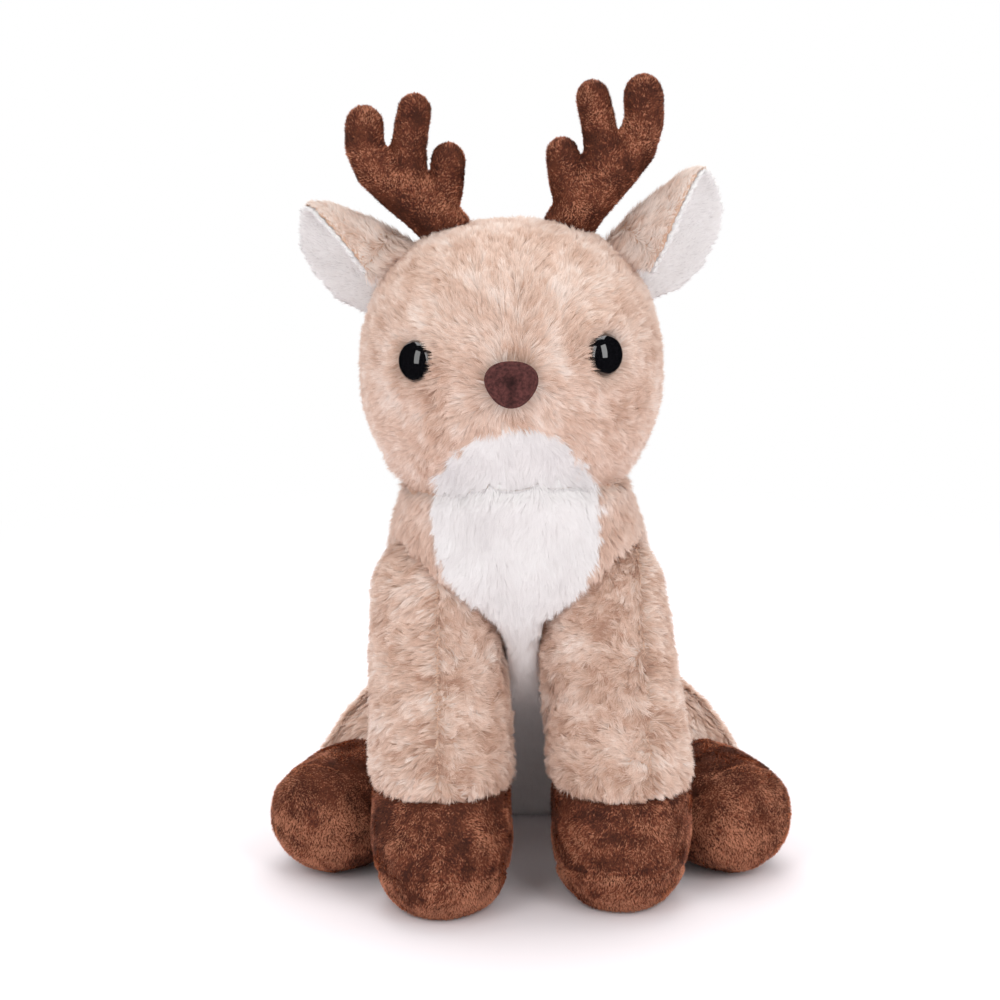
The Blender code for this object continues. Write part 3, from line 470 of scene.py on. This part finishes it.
def on_panel(points, normals, name, seed, step=9 * mm, rise=0, share=1):
    """Whether roots lie between a panel's edges and under its top, on the front, with a ragged border.
    The panel is taken higher by rise, and its width times share."""
    low, high = edges_of(name, 0, step)(points[:, 2] - rise)
    low, high = (low + high) / 2 - (high - low) / 2 * share, (low + high) / 2 + (high - low) / 2 * share
    ragged = 0.8 * mm * ripple(points, 5 * mm, seed)
    top = corners_of(name)[:, 2].max() + rise
    front = normals[:, 1] < 0.15
    between = (points[:, 0] > low + ragged) & (points[:, 0] < high + ragged)
    return between & (points[:, 2] < top + ragged) & front


tan_pile = pile_material(
    "tan_pile",
    [(0.0, (0.47, 0.27, 0.19)), (0.3, (0.65, 0.445, 0.345)),
     (0.6, (0.79, 0.60, 0.50)), (1.0, (0.91, 0.79, 0.72))],
    0.66, (1.0, 0.9, 0.85))
white_pile = pile_material(
    "white_pile", [(0.0, (0.69, 0.665, 0.665)), (0.5, (0.80, 0.78, 0.775)), (1.0, (0.87, 0.86, 0.855))],
    0.92, (1.0, 1.0, 1.0))
tan_back = cloth_material("tan_back", (0.62, 0.42, 0.32), (0.52, 0.33, 0.24))
white_back = cloth_material("white_back", (0.72, 0.70, 0.70), (0.64, 0.62, 0.62))
panel_back = panelled("panel_back", tan_back, (0.66, 0.64, 0.64), (0.58, 0.56, 0.56))

head_skin = stuffed("head_skin", ["head_cover", "chin_panel"], backing_voxel, panel_back)
points, normals = vertices_of(head_skin)
mark(head_skin, on_panel(points, normals, "chin_panel", 5, chin_step, chin_rise, chin_share))
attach(head_skin, "head")
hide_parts("head_cover", "chin_panel")

head_middle = middle_of("head_cover")
eye_axes = {}
for side in sides:
    eye_axes[side] = unit(centre_of(f"eye_{side}") - centre_of(f"eye_washer_{side}"))
nose_axis = unit(centre_of("nose") - centre_of("nose_washer"))


def clear_of(points, name, axis, spare):
    """Whether roots are further than spare from the line through a fitting, on the face."""
    apart = points - centre_of(name)
    apart = apart - (apart @ axis)[:, None] * axis
    return (np.linalg.norm(apart, axis=1) > spare) | (points[:, 1] > head_middle[1])


def socket_of(points, side):
    """How near points are to the ring round an eye, 1 at its middle, and how far they are
    on the nose's side of the eye, -1 to 1."""
    apart = points - centre_of(f"eye_{side}")
    apart = apart - (apart @ eye_axes[side])[:, None] * eye_axes[side]
    distance = np.linalg.norm(apart, axis=1)
    near = np.exp(-((distance - socket_radius) / socket_width) ** 2) * (points[:, 1] < head_middle[1])
    return near, -apart[:, 0] * np.sign(eye_axes[side][0]) / np.maximum(distance, 0.1 * mm)


points, normals = vertices_of(head_skin)
puff = np.zeros(len(points))
for side in sides:
    near, inward = socket_of(points, side)
    puff += socket_rise * near * (0.7 + 0.3 * inward)
put_vertices(head_skin, points + normals * puff[:, None])

roots, normals = scatter(head_skin, pile_per_mm2, 11)
bare = clear_of(roots, "nose", nose_axis, nose_clearance) & (roots[:, 2] > head_bottom)
for side in sides:
    bare &= clear_of(roots, f"eye_{side}", eye_axes[side], eye_clearance)
roots, normals = roots[bare], normals[bare]
muzzle = centre_of("nose") + np.array([0, muzzle_in, 0])
comb = unit(roots - muzzle) + np.array([0, 0, -0.12])
white_here = on_panel(roots, normals, "chin_panel", 5, chin_step, chin_rise, chin_share)
face = roots[:, 1] < head_middle[1] - 18 * mm
neck_near = np.clip(1 - (roots[:, 2] - neck_top) / fringe_band, 0, 1)
lift = 0.36 + (0.3 + 0.35 * white_here) * neck_near
# Pile that faces upwards is painted lighter: painted light from above on the crown.
tone = 0.57 + crown_painted_light * np.clip(normals[:, 2], 0, 1) - 0.1 * white_here
for side in sides:
    near, inward = socket_of(roots, side)
    lift += near * (0.2 + 0.4 * np.clip(inward, 0, 1))
for label, region, colour, slot, seed in (
        ("head_pile_face", ~white_here & face, tan_pile, "tan_plush", 21),
        ("head_pile_left", ~white_here & ~face & (roots[:, 0] < head_middle[0]), tan_pile, "tan_plush", 22),
        ("head_pile_right", ~white_here & ~face & (roots[:, 0] >= head_middle[0]), tan_pile, "tan_plush", 23),
        ("chin_pile", white_here, white_pile, "white_plush", 24)):
    coat(label, roots[region], normals[region], comb[region], colour, "head", seed,
                 length=pile_length * (1 + fringe_more_share * (neck_near * (0.4 + 0.6 * white_here))[region]),
                 lift=lift[region], tone=tone[region], gather=0.35 if slot == "white_plush" else 0.5,
                 swirl=0.38, spread=0.22, mottle=0.5)

# Eyes: polished black domes of moulded plastic, each locked by a washer inside the head.

dome_radius = 7.3 * mm
dome_rise = 5.4 * mm
dome_lip = 0.5 * mm
shank_radius = 2.2 * mm
shank_length = 11 * mm


def turned(name, profile, place, axis, material, sides_round=48, outline=None):
    """A piece turned from (radius, height) pairs about an axis, or carried round an outline of unit size."""
    profile = np.array(profile)
    angle = np.arange(sides_round) * 2 * np.pi / sides_round
    c, s = (np.cos(angle), np.sin(angle)) if outline is None else outline(angle)
    up = np.array([0, 0, 1.0])
    across = unit(np.cross(up, axis))
    above = np.cross(axis, across)
    grid = (profile[:, 0, None, None] * (c[:, None] * across + s[:, None] * above)[None]
            + profile[:, 1, None, None] * axis + place)
    rows = len(profile)
    index = np.arange(rows * sides_round).reshape(rows, sides_round)
    quads = np.stack([index[:-1], np.roll(index, -1, 1)[:-1], np.roll(index, -1, 1)[1:], index[1:]], axis=-1)
    mesh = bpy.data.meshes.new(name)
    faces = quads.reshape(-1, 4).tolist() + [index[0, ::-1].tolist(), index[-1].tolist()]
    mesh.from_pydata(grid.reshape(-1, 3).tolist(), [], faces)
    mesh.materials.append(material)
    mesh.shade_smooth()
    piece = bpy.data.objects.new(name, mesh)
    bpy.context.scene.collection.objects.link(piece)
    return piece


def seat_of(name, axis):
    """Where a fitting's flat back meets its axis: its foremost point, less its dome's rise."""
    points = corners_of(name)
    middle = points.mean(axis=0)
    return middle + axis * ((points - middle) @ axis).max()


eye_black, tree, shader = plain_material("eye_black", 0.03, 0.8)
shader.inputs["Coat Weight"].default_value = 0.7
shader.inputs["Coat Roughness"].default_value = 0.02
eye_haze = tree.nodes.new("ShaderNodeTexNoise")
eye_haze.inputs["Scale"].default_value = 900
eye_rough = tree.nodes.new("ShaderNodeMapRange")
eye_rough.inputs["To Min"].default_value = 0.015
eye_rough.inputs["To Max"].default_value = 0.05
eye_place = tree.nodes.new("ShaderNodeTexCoord")
tree.links.new(eye_place.outputs["Object"], eye_haze.inputs["Vector"])
tree.links.new(eye_haze.outputs["Fac"], eye_rough.inputs["Value"])
tree.links.new(eye_rough.outputs["Result"], shader.inputs["Roughness"])
shader.inputs["Base Color"].default_value = (0.004, 0.004, 0.005, 1)

for side in sides:
    axis = eye_axes[side]
    rim = [(shank_radius * 0.1, -shank_length), (shank_radius, -shank_length), (shank_radius, 0),
           (dome_radius * 0.93, 0)]
    dome = [(dome_radius * math.cos(a), dome_lip + dome_rise * math.sin(a))
            for a in np.linspace(0, 89 * deg, 20)]
    seat = seat_of(f"eye_{side}", axis) - axis * (dome_rise + dome_lip)
    eye = turned(f"eye_dome_{side}", rim + dome, seat, axis, eye_black)
    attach(eye, "head")
    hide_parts(f"eye_{side}")

# Nose: a flocked plastic cap, a rounded triangle with a dimple and a groove down to its point.

nose_radius = 8.9 * mm
nose_height_share = 0.88
nose_rise = 4.8 * mm
nose_dent = 1.0 * mm


def nose_outline(angle):
    """A rounded triangle, wide above and pointed below: the radius is 1 + 0.055 sin(3 angle)."""
    radius = 1 + 0.055 * np.sin(3 * angle)
    return radius * np.cos(angle), nose_height_share * radius * np.sin(angle)


nose_cloth = cloth_material("nose_cloth", (0.120, 0.040, 0.037), (0.052, 0.018, 0.017), 0.95, 3600, 900,
                            0.3 * mm)
# The second, darker pair of tones is painted shade for the nose's groove, dimple and ledge.
nose_flock = panelled("nose_flock", nose_cloth, (0.026, 0.009, 0.009), (0.016, 0.006, 0.006))
rim = [(shank_radius * 0.1, -shank_length), (shank_radius, -shank_length), (shank_radius, 0),
       (nose_radius * 0.90, 0), (nose_radius * 0.985, 0.5 * mm), (nose_radius, 1.1 * mm)]
cap = [(nose_radius * s, 1.1 * mm + (nose_rise - 1.1 * mm) * (1 - s**2.4) ** 0.7)
       for s in (0.975, 0.94, 0.9, 0.85, 0.79, 0.72, 0.64, 0.55, 0.46, 0.37, 0.28, 0.19, 0.10, 0.02)]
seat = seat_of("nose", nose_axis) - nose_axis * nose_rise
nose = turned("nose_cap", rim + cap, seat, nose_axis, nose_flock, 64, nose_outline)
points, normals = vertices_of(nose)
local = points - seat
aside = local @ unit(np.cross(np.array([0, 0, 1.0]), nose_axis))
above = local @ np.cross(nose_axis, unit(np.cross(np.array([0, 0, 1.0]), nose_axis)))
front = np.clip((local @ nose_axis) / nose_rise, 0, 1)
groove = np.exp(-(aside / (1.2 * mm)) ** 2) * np.clip((1.5 * mm - above) / (4 * mm), 0, 1)
dimple = np.exp(-(aside / (2.6 * mm)) ** 2 - ((above - 0.8 * mm) / (2.2 * mm)) ** 2)
ledge = np.exp(-((np.hypot(aside, above / nose_height_share) / nose_radius - 0.78) / 0.07) ** 2)
ledge *= np.clip(above / (2.5 * mm), 0, 1)
# Groove, dimple and ledge are painted darker, as painted shade in these dents, and are also pressed in below.
mark(nose, np.clip(0.55 * groove + 0.8 * dimple + 0.45 * ledge, 0, 1) * front)
put_vertices(nose, points - nose_axis * (nose_dent * (groove + 1.2 * dimple + 0.4 * ledge) * front)[:, None])
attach(nose, "head")
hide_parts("nose")

# Antlers: two panels of short brown pile sewn together round the edge, stuffed hard, with three tines.

velboa_length = 1.1 * mm
velboa_width = 0.24 * mm
velboa_per_mm2 = 8
velboa_tone = 0.53
seam_width = 0.8 * mm
seam_depth = 0.7 * mm

brown_pile = pile_material(
    "brown_pile",
    [(0.0, (0.070, 0.016, 0.008)), (0.35, (0.20, 0.046, 0.019)),
     (0.65, (0.41, 0.116, 0.054)), (1.0, (0.74, 0.31, 0.175))],
    0.40, (1.0, 0.5, 0.35))
brown_back = cloth_material("brown_back", (0.13, 0.040, 0.020), (0.06, 0.018, 0.010), 0.85)


def velboa(name, roots, normals, comb, body, seed, tone=velboa_tone):
    """Short brown pile, standing well up from its cloth, in small tufts of differing tone."""
    return coat(name, roots, normals, comb, brown_pile, body, seed, length=velboa_length,
                        width=velboa_width, cell=0.6 * mm, gather=0.5, lift=0.9, swirl=0.7, tone=tone,
                        spread=0.48, mottle=0.5)


for side in sides:
    members = [f"antler_{half}_{side}" for half in ("front", "back", "stuffing")]
    antler = stuffed(f"antler_{side}", members, 1.2 * mm, brown_back, hull=False, relax=3)
    points, normals = vertices_of(antler)
    off_seam = points[:, 1] - middle_of(f"antler_stuffing_{side}")[1]
    puff = 0.5 * mm - seam_depth * np.exp(-(off_seam / seam_width) ** 2)
    put_vertices(antler, points + normals * puff[:, None])
    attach(antler, "head")
    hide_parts(*members)
    roots, normals = scatter(antler, velboa_per_mm2, 81)
    shown = ~inside(roots, ["head_cover"], 1 * mm)
    roots, normals = roots[shown], normals[shown]
    velboa(f"antler_pile_{side}", roots, normals, np.array([0, 0, 1.0]) + normals * 0, "head", 82)

# Ears: a tan plush back and a white lining, sewn round the edge and folded lengthwise.

ear_pile = 4.4 * mm
lining_pile = 2.0 * mm
rim_apart = 1.3 * mm
rim_puff = 0.6 * mm
flap_reach = 9 * mm
flap_tuft = 9 * mm
fold_reach = 8 * mm
fold_width = 7 * mm


def nearest(points, cloud):
    """The distance from each point to the nearest of a cloud:
    the root of |p|^2 - 2 p.c + |c|^2 at its least."""
    least = [((part**2).sum(axis=1)[:, None] - 2 * part @ cloud.T + (cloud**2).sum(axis=1)).min(axis=1)
             for part in np.array_split(points, len(points) // 2000 + 1)]
    return np.sqrt(np.maximum(np.concatenate(least), 0))


for side, way in zip(sides, (-1, 1)):
    body = f"ear_{side}"
    comb_line = unit(np.array([way * 0.84, 0, 0.54 if way < 0 else 0.75]))
    skins = {}
    for layer, back, slot in (("back", tan_back, "tan_plush"), ("lining", white_back, "white_plush")):
        skin = stuffed(f"ear_{layer}_skin_{side}", [f"ear_{layer}_{side}"], 0.9 * mm, back, hull=False, relax=2)
        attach(skin, body)
        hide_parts(f"ear_{layer}_{side}")
        skins[layer] = skin
    clouds = {layer: vertices_of(skin)[0][::3] for layer, skin in skins.items()}
    points, normals = vertices_of(skins["lining"])
    rim = np.exp(-((nearest(points, clouds["back"]) - rim_apart) / (0.5 * mm)) ** 2)
    put_vertices(skins["lining"], points + normals * (rim_puff * rim)[:, None])

    above = unit(np.array([-comb_line[2] * way, 0, comb_line[0] * way]))
    linings, facing = scatter(skins["lining"], pile_per_mm2, 72 + way)
    from_back = nearest(linings, clouds["back"])
    joined = (height_over(linings, ["head_cover"]) < fold_reach) & (from_back < fold_width)
    joined &= ((linings - middle_of(f"ear_lining_{side}")) @ above > 0) & (facing[:, 1] < 0)
    roots, normals = scatter(skins["back"], pile_per_mm2, 70 + way)
    full = np.clip((nearest(roots, clouds["lining"]) - 1.0 * mm) / (1.1 * mm), 0, 1)
    roots = np.concatenate([roots[full > 0.2], linings[joined]])
    normals = np.concatenate([normals[full > 0.2], facing[joined]])
    full = np.concatenate([full[full > 0.2], np.ones(joined.sum())])
    low = np.clip(1.4 - height_over(roots, ["head_cover"]) / flap_reach, 0, 1) * (normals[:, 1] < -0.2)
    low = low[:, None]
    comb = comb_line * (1 - low) + unit(head_middle - roots) * low
    comb += 1.6 * low * (1 - low) * np.array([0, 0, -1.0])
    low = low[:, 0]
    coat(f"ear_back_pile_{side}", roots, normals, comb, tan_pile, body, 71 + way,
                 length=ear_pile * full + (flap_tuft - ear_pile) * low, tone=0.92 - 0.1 * low,
                 lift=0.42, gather=0.5, swirl=0.35, spread=0.22, mottle=0.5)
    roots, normals = linings[(from_back > 0.9 * mm) & ~joined], facing[(from_back > 0.9 * mm) & ~joined]
    coat(f"ear_lining_pile_{side}", roots, normals, comb_line + normals * 0, white_pile, body, 73 + way,
                 length=lining_pile, gather=0.25, lift=0.5, spread=0.08, tone=0.85)

# Torso: a leaning pear of tan plush with the white bib sewn into its front.
# The pile lies down the body, and the seat is flat where it rests.

torso_skin = stuffed("torso_skin", ["torso_cover", "bib_panel", "torso_stuffing"], backing_voxel, panel_back,
                     hull=False)
points, normals = vertices_of(torso_skin)
mark(torso_skin, on_panel(points, normals, "bib_panel", 6))
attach(torso_skin, "torso")
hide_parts("torso_cover", "bib_panel")

torso_depth = edges_of("torso_stuffing", 1, 9 * mm)


def spine_of(points):
    """The middle of the torso at each point's height, and its half depth there."""
    low, high = torso_depth(points[:, 2])
    y = (low + high) / 2
    return np.stack([0.07 * y, y, points[:, 2]], axis=1), (high - low) / 2


roots, normals = scatter(torso_skin, pile_per_mm2, 12)
spine, half_depth = spine_of(roots)
shown = (roots[:, 2] > 2 * mm) & (((roots - spine) * normals).sum(axis=1) > 0)
behind = roots[:, 1] > spine[:, 1]
shown &= ~inside(roots, ["head_cover", "chin_panel"], 0.5 * mm)
shown &= behind | ~inside(roots, ["head_cover", "chin_panel"], -neck_bare)
shown &= (normals[:, 2] < 0.55) | (roots[:, 2] < neck_top - 14 * mm) | (behind & (normals[:, 2] < 0.9))
for side in sides:
    shown &= ~inside(roots, [f"front_leg_cover_{side}"], 0.5 * mm)
    shown &= ~inside(roots, [f"hind_leg_cover_{side}"], 0.5 * mm)
roots, normals, spine = roots[shown], normals[shown], spine[shown]
white_here = on_panel(roots, normals, "bib_panel", 6)
behind = roots[:, 1] > spine[:, 1]
comb = np.array([0, 0.35, -1.0]) + normals * 0
lift = 0.36 + 0.3 * np.clip(1 - (neck_top - roots[:, 2]) / fringe_band, 0, 1) * ~white_here
for label, region, colour, slot, seed in (
        ("torso_pile_front", ~white_here & ~behind, tan_pile, "tan_plush", 31),
        ("torso_pile_left", ~white_here & behind & (roots[:, 0] < 0), tan_pile, "tan_plush", 32),
        ("torso_pile_right", ~white_here & behind & (roots[:, 0] >= 0), tan_pile, "tan_plush", 33),
        ("bib_pile", white_here, white_pile, "white_plush", 34)):
    coat(label, roots[region], normals[region], comb[region], colour, "torso", seed,
                 lift=lift[region], gather=0.35 if slot == "white_plush" else 0.5)

# Legs: a plush sleeve over each leg, and a paw of short brown pile below it.
# The sleeve's pile parts at the front seam and hangs over the paw's top edge.

hem_length = 4.4 * mm
seam_aside = {"left": -1 * mm, "right": 10 * mm}
sole_lighter = 0.46


def seam_plane(upper, sole):
    """The plane through the ring where a paw's upper and sole meet: a point and a normal away from the sole."""
    above, below = corners_of(upper), corners_of(sole)
    apart = np.linalg.norm(above[:, None, :] - below[None, :, :], axis=2).min(axis=1)
    ring = above[apart < 0.6 * mm]
    middle = ring.mean(axis=0)
    normal = np.linalg.svd(ring - middle)[2][2]
    return middle, normal * np.sign((above.mean(axis=0) - middle) @ normal)


def leg(kind, side, seed):
    """One leg: the sleeve's and paw's skins, the sleeve's long pile, and the paw's short pile."""
    body = f"{kind}_leg_{side}"
    cover, upper, sole = f"{kind}_leg_cover_{side}", f"{kind}_paw_upper_{side}", f"{kind}_paw_sole_{side}"
    sleeve = stuffed(f"{kind}_sleeve_{side}", [cover], 2.5 * mm, tan_back)
    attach(sleeve, body)
    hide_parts(cover)
    paw = stuffed(f"{kind}_paw_{side}", [upper, sole], 1.6 * mm, brown_back, relax=4)
    points, normals = vertices_of(paw)
    middle, up = seam_plane(upper, sole)
    off_seam = (points - middle) @ up
    puff = 0.4 * mm - 1.3 * mm * np.exp(-(off_seam / (1.0 * mm)) ** 2)
    puff += 0.25 * mm * ripple(points, 16 * mm, seed)
    moved = points + normals * puff[:, None]
    moved[:, 2] = np.maximum(moved[:, 2], 0.2 * mm)
    put_vertices(paw, moved)
    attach(paw, body)
    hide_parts(upper, sole)

    top, hem = middle_of(cover), middle_of(upper)
    along = unit(hem - top)
    roots, normals = scatter(sleeve, pile_per_mm2, seed)
    spine, half_depth = spine_of(roots)
    hidden = np.linalg.norm((roots - spine)[:, :2], axis=1) < half_depth - 3 * mm
    if kind == "hind":
        hidden = inside(roots, ["torso_cover"], 3 * mm)
    end = (corners_of(cover) @ along).max()
    to_hem = end - roots @ along
    hidden |= np.abs(normals @ along) > 0.9
    roots, normals, to_hem = roots[~hidden], normals[~hidden], to_hem[~hidden]
    comb = along * 0.9 + normals * 0
    aside = np.zeros(len(roots))
    if kind == "front":
        line = top + along * ((roots - top) @ along)[:, None]
        aside = roots[:, 0] - line[:, 0] - seam_aside[side]
        ahead = np.clip(-normals[:, 1] + 0.5, 0.2, 1.2)
        around = np.cross(normals, along) * np.sign(aside)[:, None]
        comb = along * 0.5 + around * ahead[:, None] * np.clip(to_hem / (14 * mm), 0.25, 1)[:, None]
    part = np.exp(-(aside / (1.2 * mm)) ** 2) * (kind == "front") * (normals[:, 1] < 0)
    inner = (kind == "front") * (aside * (1 if side == "left" else -1) > 0) * (normals[:, 1] < 0.3)
    sleeve_tone = 0.55 if kind == "front" else 0.66
    coat(f"{kind}_sleeve_pile_{side}", roots, normals, comb, tan_pile, body, seed + 1,
                 length=np.where(to_hem < 5 * mm, hem_length, pile_length) * (1 - 0.35 * part), gather=0.6,
                 swirl=0.4 + 0.5 * inner, tone=sleeve_tone - 0.25 * part - 0.08 * inner, spread=0.24,
                 mottle=0.6)
    roots, normals = scatter(paw, velboa_per_mm2, seed + 2)
    shown = ~inside(roots, [cover], 1 * mm) & (roots[:, 2] > 1 * mm)
    roots, normals = roots[shown], normals[shown]
    below = (roots - middle) @ up < 0
    down = along * 0.3 + np.array([0, -0.3, -1.0]) + normals * 0
    velboa(f"{kind}_paw_pile_{side}", roots, normals, down, body, seed + 3,
           tone=velboa_tone + sole_lighter * below)


for kind, side, seed in (("front", "left", 40), ("front", "right", 45),
                         ("hind", "left", 50), ("hind", "right", 55)):
    leg(kind, side, seed)

# Tail: a short flat drop, tan above and white below, sewn to the back.

tail_skin = stuffed("tail_skin", ["tail_top", "tail_underside"], 1.6 * mm, tan_back)
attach(tail_skin, "tail")
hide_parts("tail_top", "tail_underside")
roots, normals = scatter(tail_skin, pile_per_mm2, 13)
tail_low = normals @ np.array([0, -0.6, -0.8]) > 0.1
comb = np.array([0, 0.82, 0.57]) + normals * 0
for label, region, colour, slot, seed in (("tail_pile_top", ~tail_low, tan_pile, "tan_plush", 61),
                                          ("tail_pile_under", tail_low, white_pile, "white_plush", 62)):
    coat(label, roots[region], normals[region], comb[region], colour, "tail", seed,
                 length=6.5 * mm)

# Inside: polyester stuffing, a cloth bag of pellets on the seat's floor, and the fittings' washers.

fibre_white = cloth_material("fibre_white", (0.86, 0.86, 0.85), (0.66, 0.66, 0.65), 1.0, 700, 90, 1.2 * mm)
bag_cloth = cloth_material("bag_cloth", (0.80, 0.78, 0.72), (0.66, 0.64, 0.58), 0.9, 2600, 60)
washer_plastic = cloth_material("washer_plastic", (0.74, 0.74, 0.72), (0.68, 0.68, 0.66), 0.45, 300, 200,
                                0.05 * mm)
for name, node in nodes.items():
    inner = fibre_white if "stuffing" in name else bag_cloth if name == "pellet_bag" else washer_plastic
    if "stuffing" in name or "washer" in name or name == "pellet_bag":
        node.data.materials.clear()
        node.data.materials.append(inner)
